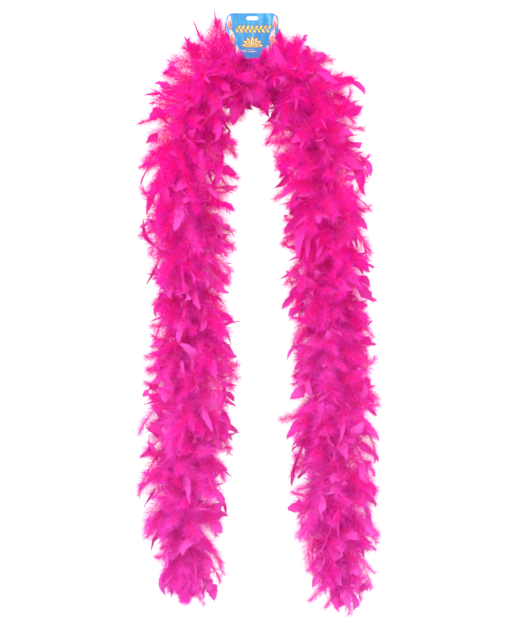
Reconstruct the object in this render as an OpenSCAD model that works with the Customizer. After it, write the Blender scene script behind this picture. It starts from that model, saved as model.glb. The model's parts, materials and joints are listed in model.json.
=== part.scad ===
// Feather boa, doubled over and hung from its header card.
// Millimetres. The origin is the middle of the card's peg slot, Z is up, X is to the right,
// and the printed face of the card looks along -Y.
// A twisted core runs the whole length and grips the quills of a row of feather whorls.
// The core passes through the folded strap at the foot of the card, bends over two shoulders,
// and hangs as two legs. Each leg is a chain of core lengths that bend where they meet.

/* [Header card] */
// Width of the card across its square upper part
card_w = 82; // [70:1:100]
// Height of the card from its top edge to the crease above the strap
card_h = 60; // [54:1:80]
// Thickness of the card stock
card_t = 0.6; // [0.4:0.1:1]
// Radius of the two top corners
card_corner_r = 11; // [6:1:16]
// Width of the strap that folds round the core
strap_w = 38; // [30:1:44]
// Length of the peg slot
slot_w = 19; // [14:1:24]
// Height of the peg slot
slot_h = 6.4; // [5:0.2:8]

/* [Core] */
// Diameter of the twisted core
core_d = 4.4; // [3:0.2:6]
// Height of the core below the peg slot where the strap holds it
core_drop = 63; // [62:1:78]
// Radius of each shoulder, measured at the core
shoulder_r = 105; // [100:1:120]
// Slope of the core where it leaves the strap, below the horizontal
shoulder_dip = 15; // [10:1:18]

/* [Legs] */
// Length of the core in each link of a leg
link_l = 104; // [98:1:110]
// Outward lean of the left leg in mm per link
left_lean = 0.4; // [0:0.1:2]
// Outward lean of the right leg in mm per link
right_lean = 5.4; // [0:0.1:6]
// Largest sideways wander of a leg from its straight line
sway = 5; // [0:0.5:6]

/* [Feather whorls] */
// Mean diameter of a whorl of feathers
whorl_d = 116; // [100:1:120]
// Share by which the whorls swell and shrink along a leg
whorl_swell = 0.09; // [0:0.01:0.1]

/* [Node] */

/* [Hidden] */
$fn = 48;
LEFT = -1;
RIGHT = 1;
CARD_BLUE = [0.18, 0.62, 0.91];
STEEL = [0.75, 0.76, 0.78];
CORE_PINK = [0.80, 0.02, 0.30];
FEATHER_PINK = [0.92, 0.10, 0.56];
THREAD_PINK = [0.70, 0.02, 0.35];

links = 7;
arch_whorls = 3;
core_r = core_d / 2;

// Header card. The card's printed face is at y = -card_t / 2.
card_top = 8;
card_square_h = 28;
crease_z = card_top - card_h;
crease_w = strap_w + 4;

// Strap loop round the core, with a running gap to the feathers gripped in it.
loop_gap = 0.3;
grip_r = core_r + 1.4;
loop_in_r = grip_r + loop_gap;
boa_y = card_t / 2 + loop_in_r;
core_z = -core_drop;
tab_foot_z = crease_z + 1;
tab_top_z = crease_z + 14;

// The strap's back leans forward from a fold at the end of the loop to the foot of the tab.
fold_a = 25;
fold_lap = 0.3;
loop_mid_r = loop_in_r + card_t / 2;
loop_far = 2 * (loop_in_r + card_t);
back_foot = [boa_y + loop_mid_r * cos(fold_a), core_z + loop_mid_r * sin(fold_a)];
back_top = [card_t, tab_foot_z];
back_l = norm(back_top - back_foot);
back_lean = atan2(back_foot[0] - back_top[0], back_top[1] - back_foot[1]);

// Scored crease, and the small step in width below it.
score_h = 0.8;
score_depth = 0.15;
crease_step = 3;

// Staple through the card and the strap's end.
staple_w = 12.7;
wire_d = 0.6;
staple_x = -6;
staple_z = crease_z + 3;
staple_fold = 3.6;
staple_legs = [staple_x - staple_w / 2, staple_x + staple_w / 2];

// Shoulders: an arc that starts at the edge of the strap and ends pointing down.
arc_start_x = strap_w / 2 + 2;
arc_turn = 90 - shoulder_dip;
arc_l = shoulder_r * arc_turn * PI / 180;
leg_x = arc_start_x + shoulder_r * (1 - sin(shoulder_dip));
leg_z = core_z - shoulder_r * cos(shoulder_dip);

// Whorls: one slot of core each, with a space at both ends that lets the links bend.
whorl_space = 5;
arch_slot = arc_l / arch_whorls;
leg_slot = link_l / 2;
collar_r = 10;
foot_r = 14;
rim_share = 0.6;
rim_band = 2.5;
arch_bore_r = core_r + 0.15;

// Bending places between two links: a rounded end in a hollow end.
hollow_r = core_r + 0.3;

// The knot that ends each leg, and the thread bound round the core above it.
knot_r = 6;
whip_t = 1;
whip_l = 8;
whip_rise = whorl_space - 2;
tail_l = whip_l - whip_rise + knot_r;

// Sideways wander of a leg at the top of link k (0 is the shoulder).
function wander(side, k) =
  sway * (side == LEFT ? sin(75 * k) : sin(60 * k - 60) + sin(60));

function lean(side) = side == LEFT ? left_lean : right_lean;

// Place in the leg where link k starts.
function leg_point(side, k) =
  [side * (leg_x + lean(side) * k + wander(side, k)), boa_y, leg_z - link_l * k];

// Turn about Y that points a link's -Z axis at the next place.
function link_turn(side, k) =
  -atan((leg_point(side, k + 1)[0] - leg_point(side, k)[0]) / link_l);

// Length of the straight core between two places.
function link_span(side, k) =
  norm(leg_point(side, k + 1) - leg_point(side, k));

// Radius of whorl n of a leg (1 is the highest).
function whorl_r(side, n) =
  whorl_d / 2 * (1 + whorl_swell * cos(48 * n - (side == LEFT ? 70 : 130))
                 - (side == LEFT ? 0.004 : 0.007) * n);

// ---- Shared shapes ----

// A whorl of feathers: narrow where the core grips the quills, widest past the middle,
// and drawn in again above the next whorl. It hangs along -Z from its own top.
module whorl(r, slot, bore = core_r) {
  h = slot - 2 * whorl_space;
  rim_z = -whorl_space - h * rim_share;
  rotate_extrude()
    polygon([
      [bore, -whorl_space],
      [collar_r, -whorl_space],
      [r - rim_band / 2, rim_z + rim_band / 2],
      [r, rim_z],
      [r, rim_z - rim_band],
      [r - rim_band / 2, rim_z - rim_band * 1.5],
      [foot_r, -whorl_space - h],
      [bore, -whorl_space - h],
    ]);
}

// Puts its children at a share of the way round a shoulder, pointing along the core.
module on_arch(side, start, middle) {
  start_a = shoulder_dip + arc_turn * start;
  middle_a = shoulder_dip + arc_turn * middle;
  mirror([side == LEFT ? 1 : 0, 0, 0])
    translate([
      arc_start_x + shoulder_r * (sin(start_a) - sin(shoulder_dip)),
      boa_y,
      core_z - shoulder_r * (cos(shoulder_dip) - cos(start_a)),
    ])
      rotate([0, middle_a - 90, 0])
        children();
}

// Puts its children at the top of link k of a leg, hanging along the link.
module on_link(side, k) {
  translate(leg_point(side, k))
    rotate([0, link_turn(side, k), 0])
      children();
}

// One whorl of a shoulder, n = 1 next to the strap. Its bore follows the core's arc.
module arch_feathers(side, n) {
  share = 1 / arch_whorls;
  color(FEATHER_PINK)
    difference() {
      on_arch(side, (n - 1) * share, (n - 0.5) * share)
        whorl(whorl_d / 2, arch_slot, 0);
      shoulder_sweep(side, arch_bore_r);
    }
}

// One whorl of a leg, n = 1 at the shoulder, two whorls to a link.
module leg_feathers(side, n) {
  k = floor((n - 1) / 2);
  drop = (n - 1) % 2 * leg_slot;
  color(FEATHER_PINK)
    on_link(side, k)
      translate([0, 0, -drop])
        whorl(whorl_r(side, n), leg_slot);
}

// A round bar of radius r along the core's arc over one shoulder.
module shoulder_sweep(side, r) {
  mirror([side == LEFT ? 1 : 0, 0, 0])
    translate([arc_start_x - shoulder_r * sin(shoulder_dip), boa_y, leg_z])
      rotate([90, 0, 0])
        rotate_extrude(angle = arc_turn)
          translate([shoulder_r, 0])
            circle(r);
}

// The hollow that the rounded top of link k turns in.
module bend_hollow(side, k) {
  translate(leg_point(side, k))
    sphere(hollow_r);
}

// The core of link k: rounded on top, and hollow at its foot for the next link.
// The last link runs on past its whorls and ends in a knot.
module core_link(side, k) {
  is_last = k == links - 1;
  run = link_span(side, k) + (is_last ? tail_l : 0);
  color(CORE_PINK)
    difference() {
      on_link(side, k)
        union() {
          sphere(core_r);
          translate([0, 0, -run])
            cylinder(r = core_r, h = run);
          if (is_last)
            translate([0, 0, -run])
              sphere(knot_r);
        }
      if (!is_last)
        bend_hollow(side, k + 1);
    }
}

// Thread bound round the core between the last whorl and the knot.
module whipping(side) {
  k = links - 1;
  color(THREAD_PINK)
    on_link(side, k)
      translate([0, 0, -link_span(side, k) + whip_rise - whip_l])
        rotate_extrude()
          translate([core_r, 0])
            square([whip_t, whip_l]);
}

// ---- Header card ----

// Front of the card: rounded at the top, drawn in to the crease, then the strap's front.
module card_outline() {
  half_w = card_w / 2;
  for (x = [card_corner_r - half_w, half_w - card_corner_r])
    translate([x, card_top - card_corner_r])
      circle(card_corner_r);
  translate([card_corner_r - half_w, card_top - card_corner_r])
    square([card_w - 2 * card_corner_r, card_corner_r]);
  polygon([
    [-half_w, card_top - card_corner_r],
    [-half_w, card_top - card_square_h],
    [-crease_w / 2, crease_z],
    [-strap_w / 2, crease_z - crease_step],
    [-strap_w / 2, core_z],
    [strap_w / 2, core_z],
    [strap_w / 2, crease_z - crease_step],
    [crease_w / 2, crease_z],
    [half_w, card_top - card_square_h],
    [half_w, card_top - card_corner_r],
  ]);
}

// Peg slot with round ends, centred on the origin.
module slot_outline() {
  for (x = [-1, 1])
    translate([x * (slot_w - slot_h) / 2, 0])
      circle(slot_h / 2);
  square([slot_w - slot_h, slot_h], center = true);
}

// The strap's path seen from its end, in Y and Z: round under the core, up its back,
// forward to the card at the tab's foot, and flat against the back of the card.
module strap_outline() {
  difference() {
    translate([boa_y, core_z])
      circle(loop_in_r + card_t);
    translate([boa_y, core_z])
      circle(loop_in_r);
    translate([boa_y, core_z])
      polygon([
        [0, 0],
        [loop_far * cos(fold_a), loop_far * sin(fold_a)],
        [0, 2 * loop_far],
        [-loop_far, 0],
      ]);
  }
  translate(back_foot)
    rotate(back_lean)
      translate([-card_t / 2, -fold_lap])
        square([card_t, back_l + 2 * fold_lap]);
  translate([card_t / 2, tab_foot_z])
    square([card_t, tab_top_z - tab_foot_z]);
}

module header_card() {
  color(CARD_BLUE)
    difference() {
      union() {
        rotate([90, 0, 0])
          linear_extrude(card_t, center = true)
            card_outline();
        translate([-strap_w / 2, 0, 0])
          rotate([90, 0, 90])
            linear_extrude(strap_w)
              strap_outline();
      }
      rotate([90, 0, 0])
        linear_extrude(card_t * 3, center = true)
          slot_outline();
      // scored crease across the front
      translate([-card_w / 2, -card_t, crease_z - score_h / 2])
        cube([card_w, card_t / 2 + score_depth, score_h]);
      for (x = staple_legs)
        translate([x, 0, staple_z])
          rotate([90, 0, 0])
            cylinder(d = wire_d, h = card_t * 6, center = true);
    }
}

// A run of staple wire with round ends, from one place to another along X or Y.
module wire(from, to) {
  span = to - from;
  translate(from)
    sphere(d = wire_d);
  translate(to)
    sphere(d = wire_d);
  translate(from)
    rotate(span[0] == 0 ? [-90, 0, 0] : [0, sign(span[0]) * 90, 0])
      cylinder(d = wire_d, h = norm(span));
}

module staple() {
  front_y = -card_t / 2 - wire_d / 2;
  back_y = card_t * 1.5 + wire_d / 2;
  color(STEEL) {
    wire([staple_legs[0], front_y, staple_z], [staple_legs[1], front_y, staple_z]);
    for (i = [0, 1]) {
      x = staple_legs[i];
      fold = (i == 0 ? 1 : -1) * staple_fold;
      wire([x, front_y, staple_z], [x, back_y, staple_z]);
      wire([x, back_y, staple_z], [x + fold, back_y, staple_z]);
    }
  }
}

// ---- Crown ----

// The length of core inside the strap and over both shoulders.
module core_crown() {
  color(CORE_PINK)
    difference() {
      union() {
        translate([-arc_start_x, boa_y, core_z])
          rotate([0, 90, 0])
            cylinder(r = core_r, h = 2 * arc_start_x);
        for (side = [LEFT, RIGHT]) {
          translate([side * arc_start_x, boa_y, core_z])
            sphere(core_r);
          shoulder_sweep(side, core_r);
        }
      }
      bend_hollow(LEFT, 0);
      bend_hollow(RIGHT, 0);
    }
}

// Quills and down squeezed flat round the core inside the strap.
module gripped_feathers() {
  color(FEATHER_PINK)
    translate([-strap_w / 2, boa_y, core_z])
      rotate([0, 90, 0])
        rotate_extrude()
          translate([core_r, 0])
            square([grip_r - core_r, strap_w]);
}

// ---- Named sub-parts ----

module feathers_arch_left_1() {
  arch_feathers(LEFT, 1);
}

module feathers_arch_left_2() {
  arch_feathers(LEFT, 2);
}

module feathers_arch_left_3() {
  arch_feathers(LEFT, 3);
}

module feathers_arch_right_1() {
  arch_feathers(RIGHT, 1);
}

module feathers_arch_right_2() {
  arch_feathers(RIGHT, 2);
}

module feathers_arch_right_3() {
  arch_feathers(RIGHT, 3);
}

module core_left_1() {
  core_link(LEFT, 0);
}

module core_left_2() {
  core_link(LEFT, 1);
}

module core_left_3() {
  core_link(LEFT, 2);
}

module core_left_4() {
  core_link(LEFT, 3);
}

module core_left_5() {
  core_link(LEFT, 4);
}

module core_left_6() {
  core_link(LEFT, 5);
}

module core_left_7() {
  core_link(LEFT, 6);
}

module core_right_1() {
  core_link(RIGHT, 0);
}

module core_right_2() {
  core_link(RIGHT, 1);
}

module core_right_3() {
  core_link(RIGHT, 2);
}

module core_right_4() {
  core_link(RIGHT, 3);
}

module core_right_5() {
  core_link(RIGHT, 4);
}

module core_right_6() {
  core_link(RIGHT, 5);
}

module core_right_7() {
  core_link(RIGHT, 6);
}

module feathers_left_01() {
  leg_feathers(LEFT, 1);
}

module feathers_left_02() {
  leg_feathers(LEFT, 2);
}

module feathers_left_03() {
  leg_feathers(LEFT, 3);
}

module feathers_left_04() {
  leg_feathers(LEFT, 4);
}

module feathers_left_05() {
  leg_feathers(LEFT, 5);
}

module feathers_left_06() {
  leg_feathers(LEFT, 6);
}

module feathers_left_07() {
  leg_feathers(LEFT, 7);
}

module feathers_left_08() {
  leg_feathers(LEFT, 8);
}

module feathers_left_09() {
  leg_feathers(LEFT, 9);
}

module feathers_left_10() {
  leg_feathers(LEFT, 10);
}

module feathers_left_11() {
  leg_feathers(LEFT, 11);
}

module feathers_left_12() {
  leg_feathers(LEFT, 12);
}

module feathers_left_13() {
  leg_feathers(LEFT, 13);
}

module feathers_left_14() {
  leg_feathers(LEFT, 14);
}

module feathers_right_01() {
  leg_feathers(RIGHT, 1);
}

module feathers_right_02() {
  leg_feathers(RIGHT, 2);
}

module feathers_right_03() {
  leg_feathers(RIGHT, 3);
}

module feathers_right_04() {
  leg_feathers(RIGHT, 4);
}

module feathers_right_05() {
  leg_feathers(RIGHT, 5);
}

module feathers_right_06() {
  leg_feathers(RIGHT, 6);
}

module feathers_right_07() {
  leg_feathers(RIGHT, 7);
}

module feathers_right_08() {
  leg_feathers(RIGHT, 8);
}

module feathers_right_09() {
  leg_feathers(RIGHT, 9);
}

module feathers_right_10() {
  leg_feathers(RIGHT, 10);
}

module feathers_right_11() {
  leg_feathers(RIGHT, 11);
}

module feathers_right_12() {
  leg_feathers(RIGHT, 12);
}

module feathers_right_13() {
  leg_feathers(RIGHT, 13);
}

module feathers_right_14() {
  leg_feathers(RIGHT, 14);
}

module whipping_left() {
  whipping(LEFT);
}

module whipping_right() {
  whipping(RIGHT);
}

header_card();
staple();
core_crown();
gripped_feathers();
feathers_arch_left_1();
feathers_arch_left_2();
feathers_arch_left_3();
feathers_arch_right_1();
feathers_arch_right_2();
feathers_arch_right_3();
core_left_1();
core_left_2();
core_left_3();
core_left_4();
core_left_5();
core_left_6();
core_left_7();
core_right_1();
core_right_2();
core_right_3();
core_right_4();
core_right_5();
core_right_6();
core_right_7();
feathers_left_01();
feathers_left_02();
feathers_left_03();
feathers_left_04();
feathers_left_05();
feathers_left_06();
feathers_left_07();
feathers_left_08();
feathers_left_09();
feathers_left_10();
feathers_left_11();
feathers_left_12();
feathers_left_13();
feathers_left_14();
feathers_right_01();
feathers_right_02();
feathers_right_03();
feathers_right_04();
feathers_right_05();
feathers_right_06();
feathers_right_07();
feathers_right_08();
feathers_right_09();
feathers_right_10();
feathers_right_11();
feathers_right_12();
feathers_right_13();
feathers_right_14();
whipping_left();
whipping_right();
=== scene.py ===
import json
import math

import bpy
import numpy as np
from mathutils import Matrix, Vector


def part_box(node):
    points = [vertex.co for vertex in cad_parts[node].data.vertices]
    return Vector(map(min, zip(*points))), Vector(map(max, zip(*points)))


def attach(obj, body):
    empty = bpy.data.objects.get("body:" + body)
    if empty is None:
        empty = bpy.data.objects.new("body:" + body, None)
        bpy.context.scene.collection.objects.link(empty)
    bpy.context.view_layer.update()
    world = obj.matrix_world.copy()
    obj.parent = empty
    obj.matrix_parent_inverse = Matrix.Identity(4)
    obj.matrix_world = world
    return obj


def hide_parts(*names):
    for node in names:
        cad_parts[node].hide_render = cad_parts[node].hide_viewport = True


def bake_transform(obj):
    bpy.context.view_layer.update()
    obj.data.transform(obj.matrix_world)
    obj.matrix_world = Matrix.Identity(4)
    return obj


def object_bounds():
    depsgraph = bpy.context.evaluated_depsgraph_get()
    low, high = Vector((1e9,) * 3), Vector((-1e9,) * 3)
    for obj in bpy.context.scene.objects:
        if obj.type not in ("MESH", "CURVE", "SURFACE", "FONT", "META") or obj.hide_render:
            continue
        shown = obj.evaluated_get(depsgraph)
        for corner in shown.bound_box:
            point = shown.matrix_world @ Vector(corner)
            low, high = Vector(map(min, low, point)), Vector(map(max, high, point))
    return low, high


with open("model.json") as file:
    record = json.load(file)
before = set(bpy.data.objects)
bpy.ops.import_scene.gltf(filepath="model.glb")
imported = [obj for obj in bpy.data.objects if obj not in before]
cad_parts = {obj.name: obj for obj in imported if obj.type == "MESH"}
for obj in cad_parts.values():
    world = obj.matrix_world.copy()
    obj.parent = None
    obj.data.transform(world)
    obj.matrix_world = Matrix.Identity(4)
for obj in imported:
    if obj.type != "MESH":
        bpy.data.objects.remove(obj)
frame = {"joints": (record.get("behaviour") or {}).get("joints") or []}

CAD_BOX = [np.array(corner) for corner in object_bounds()]
ROOM_SHARE = 0.03        # how far the visual may stand out of the CAD box: this share of each
ROOM_MORE = 0.010        # side, and this much more in metres
CLIP_MORE = 0.0095       # the same for single points, just inside the limit

# ---------------------------------------------------------------------------
# Driving sizes, in metres, in the model's own frame
# ---------------------------------------------------------------------------

CORE_D = 0.0044          # twisted core
STRAP_HALF = 0.019       # half the width of the card's strap
ARCH_START = 0.021       # where the core leaves the strap and starts to bend
SHOULDER_R = 0.105       # radius of each shoulder
SHOULDER_DIP = math.radians(15)
PATH_STEP = 0.002        # spacing of the points that describe the core's path
WAY_REACH = 0.012        # the core's direction is taken over this distance both ways
LINKS = 7                # core lengths in each leg
KNOT_R = 0.006
SIDES = {"left": -1, "right": 1}
UV_NAME = "OFBake"       # one UV map per feather piece; the feather materials read their colours from it

JOINTS = {j["name"]: j for j in frame["joints"]}
STRAP_AXIS = np.array(JOINTS["strap_swing"]["pos_m"])


def unit(v):
    """Vectors along the last axis, scaled to length 1."""
    return v / np.maximum(np.linalg.norm(v, axis=-1, keepdims=True), 1e-12)


# ---------------------------------------------------------------------------
# The core's path
# ---------------------------------------------------------------------------

def hinge_points(side):
    """The places down one leg where its links meet, from the shoulder to the last hinge."""
    names = [n for n in JOINTS if n.startswith(side)]
    names.sort(key=lambda n: int(n.split("_")[1]))
    return [np.array(JOINTS[n]["pos_m"]) for n in names]


def leg_end(side):
    """The middle of the knot that ends a leg: on the line from the last hinge through the
    bound thread."""
    hinge = hinge_points(side)[-1]
    low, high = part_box(f"whipping_{side}")
    thread = np.array((low + high) / 2)
    knot_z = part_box(f"core_{side}_{LINKS}")[0].z + KNOT_R
    return hinge + (thread - hinge) * (knot_z - hinge[2]) / (thread[2] - hinge[2])


def core_path(side):
    """Points along the core from the middle of the strap to the end of one leg, and the
    distance along the core to each."""
    sign = SIDES[side]
    corners = [np.array([0.0, STRAP_AXIS[1], STRAP_AXIS[2]])]
    for a in np.linspace(SHOULDER_DIP, math.pi / 2, 24):
        x = ARCH_START + SHOULDER_R * (math.sin(a) - math.sin(SHOULDER_DIP))
        z = STRAP_AXIS[2] - SHOULDER_R * (math.cos(SHOULDER_DIP) - math.cos(a))
        corners.append(np.array([sign * x, STRAP_AXIS[1], z]))
    corners += hinge_points(side)[1:]
    corners.append(leg_end(side))
    corners = np.array(corners)
    run = np.concatenate([[0], np.cumsum(np.linalg.norm(np.diff(corners, axis=0), axis=1))])
    at = np.arange(0, run[-1], PATH_STEP)
    points = np.stack([np.interp(at, run, corners[:, i]) for i in range(3)], axis=1)
    return points, at


PATHS = {side: core_path(side) for side in SIDES}
ARCH_L = ARCH_START + SHOULDER_R * (math.pi / 2 - SHOULDER_DIP)
LINK_L = abs(hinge_points("left")[1][2] - hinge_points("left")[0][2])


def on_path(side, s):
    """Points and unit directions on a side's core at distances s from the strap's middle."""
    points, at = PATHS[side]
    s = np.asarray(s, float)
    place = np.stack([np.interp(s, at, points[:, i]) for i in range(3)], axis=-1)
    ahead = np.stack([np.interp(s + WAY_REACH, at, points[:, i]) for i in range(3)], axis=-1)
    behind = np.stack([np.interp(s - WAY_REACH, at, points[:, i]) for i in range(3)], axis=-1)
    return place, unit(ahead - behind)


def whorl_radius(side, s):
    """Mean reach of the feathers at distances s along a side, from the CAD whorls' sizes."""
    at, radius = [], []
    for n in range(1, 4):
        low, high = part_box(f"feathers_arch_{side}_{n}")
        at.append(ARCH_START + (n - 0.5) * (ARCH_L - ARCH_START) / 3)
        radius.append((high.y - low.y) / 2)
    for n in range(1, 2 * LINKS + 1):
        low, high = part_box(f"feathers_{side}_{n:02d}")
        at.append(ARCH_L + (n - 0.4) * LINK_L / 2)
        radius.append((high.y - low.y) / 2)
    return np.interp(s, at, radius)


# ---------------------------------------------------------------------------
# Camera
# ---------------------------------------------------------------------------

CAMERA_LENS = 100.0
SENSOR = 36.0
VIEW_HEIGHT = 0.991      # height of the picture at the object, in metres
VIEW_X, VIEW_Z = 0.0090, -0.4668


def make_camera():
    """A level camera in front of the boa, looking straight at its face."""
    data = bpy.data.cameras.new("camera")
    data.lens = CAMERA_LENS
    data.sensor_width = SENSOR
    camera = bpy.data.objects.new("camera", data)
    bpy.context.scene.collection.objects.link(camera)
    distance = VIEW_HEIGHT * CAMERA_LENS / SENSOR
    camera.location = (VIEW_X, -distance, VIEW_Z)
    camera.rotation_euler = (math.pi / 2, 0, 0)
    bpy.context.scene.camera = camera


make_camera()


# ---------------------------------------------------------------------------
# Mesh helpers
# ---------------------------------------------------------------------------

def mesh_object(name, verts, faces, uvs=None, material_index=None, smooth=True):
    """An object from an (n, 3) array of points and lists of (m, 3) or (m, 4) index arrays.
    uvs holds one (u, v) for each point."""
    me = bpy.data.meshes.new(name)
    sizes = np.concatenate([np.full(len(f), f.shape[1]) for f in faces])
    loops = np.concatenate([f.ravel() for f in faces]).astype(np.int32)
    starts = np.concatenate([[0], np.cumsum(sizes)[:-1]]).astype(np.int32)
    me.vertices.add(len(verts))
    me.vertices.foreach_set("co", verts.astype(np.float32).ravel())
    me.loops.add(len(loops))
    me.loops.foreach_set("vertex_index", loops)
    me.polygons.add(len(sizes))
    me.polygons.foreach_set("loop_start", starts)
    me.polygons.foreach_set("use_smooth", np.full(len(sizes), smooth))
    if material_index is not None:
        me.polygons.foreach_set("material_index", material_index.astype(np.int32))
    if uvs is not None:
        layer = me.uv_layers.new(name=UV_NAME)
        layer.data.foreach_set("uv", uvs[loops].astype(np.float32).ravel())
    me.update(calc_edges=True)
    me.validate()
    ob = bpy.data.objects.new(name, me)
    bpy.context.scene.collection.objects.link(ob)
    return ob


class Batch:
    """Points, faces and UVs of many small parts that become one mesh."""

    def __init__(self):
        self.points, self.uvs, self.faces, self.slots = [], [], {3: [], 4: []}, {3: [], 4: []}
        self.count = 0

    def add(self, points, uvs, quads=None, tris=None, slot=0):
        """points is (copies, n, 3); quads and tris index the n points of one copy."""
        copies, n = points.shape[:2]
        base = self.count + n * np.arange(copies)[:, None, None]
        for size, cells in ((4, quads), (3, tris)):
            if cells is not None and len(cells):
                cells = np.asarray(cells)[None] + base
                self.faces[size].append(cells.reshape(-1, size))
                self.slots[size].append(np.full(cells.shape[0] * cells.shape[1], slot))
        self.points.append(points.reshape(-1, 3))
        self.uvs.append(uvs.reshape(-1, 2))
        self.count += copies * n

    def build(self, name, materials, shape=None):
        """One object of everything added, kept within the space that feathers may fill;
        shape, if given, moves the points first."""
        faces = [np.concatenate(self.faces[k]) for k in (4, 3) if self.faces[k]]
        slots = np.concatenate([np.concatenate(self.slots[k]) for k in (4, 3) if self.slots[k]])
        points = np.concatenate(self.points)
        if shape:
            points = shape(points)
        room = ROOM_SHARE * (CAD_BOX[1] - CAD_BOX[0]) + CLIP_MORE
        points = np.clip(points, CAD_BOX[0] - room, CAD_BOX[1] + room)
        ob = mesh_object(name, points, faces, np.concatenate(self.uvs), slots)
        for m in materials:
            ob.data.materials.append(m)
        return ob


# ---------------------------------------------------------------------------
# Material helpers
# ---------------------------------------------------------------------------

def new_material(name):
    """A node material, with its nodes, its links and its Principled shader."""
    m = bpy.data.materials.new(name)
    m.use_nodes = True
    nodes, links = m.node_tree.nodes, m.node_tree.links
    return m, nodes, links, nodes["Principled BSDF"]


def ramp(nodes, stops):
    """A colour ramp node with the given (position, colour) stops."""
    r = nodes.new("ShaderNodeValToRGB")
    while len(r.color_ramp.elements) < len(stops):
        r.color_ramp.elements.new(0.5)
    for e, (p, c) in zip(r.color_ramp.elements, stops):
        e.position = p
        e.color = (*c, 1)
    return r


def node_math(nodes, links, operation, *values):
    """The result of a math node on values, each a socket or a number."""
    m = nodes.new("ShaderNodeMath")
    m.operation = operation
    for socket, value in zip(m.inputs, values):
        if isinstance(value, (int, float)):
            socket.default_value = value
        else:
            links.new(value, socket)
    return m.outputs[0]


def noise(nodes, links, vector, scale, detail=2):
    """A noise texture node read at a vector socket."""
    n = nodes.new("ShaderNodeTexNoise")
    n.inputs["Scale"].default_value = scale
    n.inputs["Detail"].default_value = detail
    links.new(vector, n.inputs["Vector"])
    return n


def mixed(nodes, links, share, colour, other):
    """A colour socket mixed with a fixed colour, by a socket that gives the share."""
    mix = nodes.new("ShaderNodeMix")
    mix.data_type = "RGBA"
    links.new(share, mix.inputs["Factor"])
    links.new(colour, mix.inputs["A"])
    mix.inputs["B"].default_value = (*other, 1)
    return mix.outputs["Result"]


def add_bump(nodes, links, p, height, strength, distance):
    """Bump on a Principled shader from a height socket."""
    bump = nodes.new("ShaderNodeBump")
    bump.inputs["Strength"].default_value = strength
    bump.inputs["Distance"].default_value = distance
    links.new(height, bump.inputs["Height"])
    links.new(bump.outputs[0], p.inputs["Normal"])


def noise_coloured(name, scale, stops, detail=2, bump=None):
    """A material coloured by noise through a ramp, and its Principled shader. The same noise
    gives bump of the given (strength, distance)."""
    m, nodes, links, p = new_material(name)
    place = nodes.new("ShaderNodeTexCoord")
    tone = noise(nodes, links, place.outputs["Object"], scale, detail).outputs["Fac"]
    colour = ramp(nodes, stops)
    links.new(tone, colour.inputs[0])
    links.new(colour.outputs[0], p.inputs["Base Color"])
    if bump:
        add_bump(nodes, links, p, tone, *bump)
    return m, p


# ---------------------------------------------------------------------------
# Core: two strands twisted together, with a knot and bound thread at each end
# ---------------------------------------------------------------------------

PLY_R = CORE_D / 4
TWIST = 0.011            # length of one turn of the two strands
CORD_STEP = 0.0012       # spacing of the points that the strands are drawn through
KNOT_SCALE = 0.00125
KNOT_CORD_R = 0.0018     # radius of the cord in a knot
FRAYS = 14               # loose fibres under each knot
FRAY_L = 0.011
WHIPPING_TURNS = 10
WHIPPING_THREAD_R = 0.00045


def tube(points, radius, sides, closed=False):
    """Points and quads of a round tube along (n, 3) points; radius is a number or (n,)."""
    n = len(points)
    way = unit(np.gradient(points, axis=0))
    if closed:
        way = unit(np.roll(points, -1, 0) - np.roll(points, 1, 0))
    first = np.cross(way, [0.31, 0.87, 0.38])
    first = unit(first)
    second = np.cross(way, first)
    a = np.arange(sides) * 2 * math.pi / sides
    ring = first[:, None] * np.cos(a)[:, None] + second[:, None] * np.sin(a)[:, None]
    verts = points[:, None] + ring * np.broadcast_to(radius, n)[:, None, None]
    quads = []
    for i in range(n if closed else n - 1):
        for k in range(sides):
            j = (i + 1) % n
            quads.append((i * sides + k, i * sides + (k + 1) % sides,
                          j * sides + (k + 1) % sides, j * sides + k))
    return verts.reshape(-1, 3), np.array(quads)


def joined_tubes(name, tubes, material):
    """One object made of several tubes."""
    verts, quads, count = [], [], 0
    for v, q in tubes:
        verts.append(v)
        quads.append(q + count)
        count += len(v)
    ob = mesh_object(name, np.concatenate(verts), [np.concatenate(quads)])
    ob.data.materials.append(material)
    return ob


def twisted(path, start):
    """Two strands wound round a path whose first point lies at distance start on the core."""
    step = np.linalg.norm(np.diff(path, axis=0), axis=1)
    at = start + np.concatenate([[0], np.cumsum(step)])
    way = unit(np.gradient(path, axis=0))
    side = unit(np.cross(way, [0.0, 1.0, 0.0]))
    other = np.cross(way, side)
    tubes = []
    for phase in (0, math.pi):
        a = (at * 2 * math.pi / TWIST + phase)[:, None]
        tubes.append(tube(path + (side * np.cos(a) + other * np.sin(a)) * PLY_R, PLY_R, 7))
    return tubes


def thread_material(name, colour, scale):
    """Dyed thread: fine fibres and uneven dye."""
    dark = tuple(0.7 * c for c in colour)
    stops = [(0.35, dark), (0.65, colour)]
    m, p = noise_coloured(name, scale, stops, 4, (0.5, 0.0003))
    p.inputs["Roughness"].default_value = 0.8
    p.inputs["Sheen Weight"].default_value = 0.2
    return m


CORE_DYE = thread_material("core_dye", (0.85, 0.01, 0.30), 900)
THREAD_DYE = thread_material("thread_dye", (0.70, 0.01, 0.28), 1500)


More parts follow.
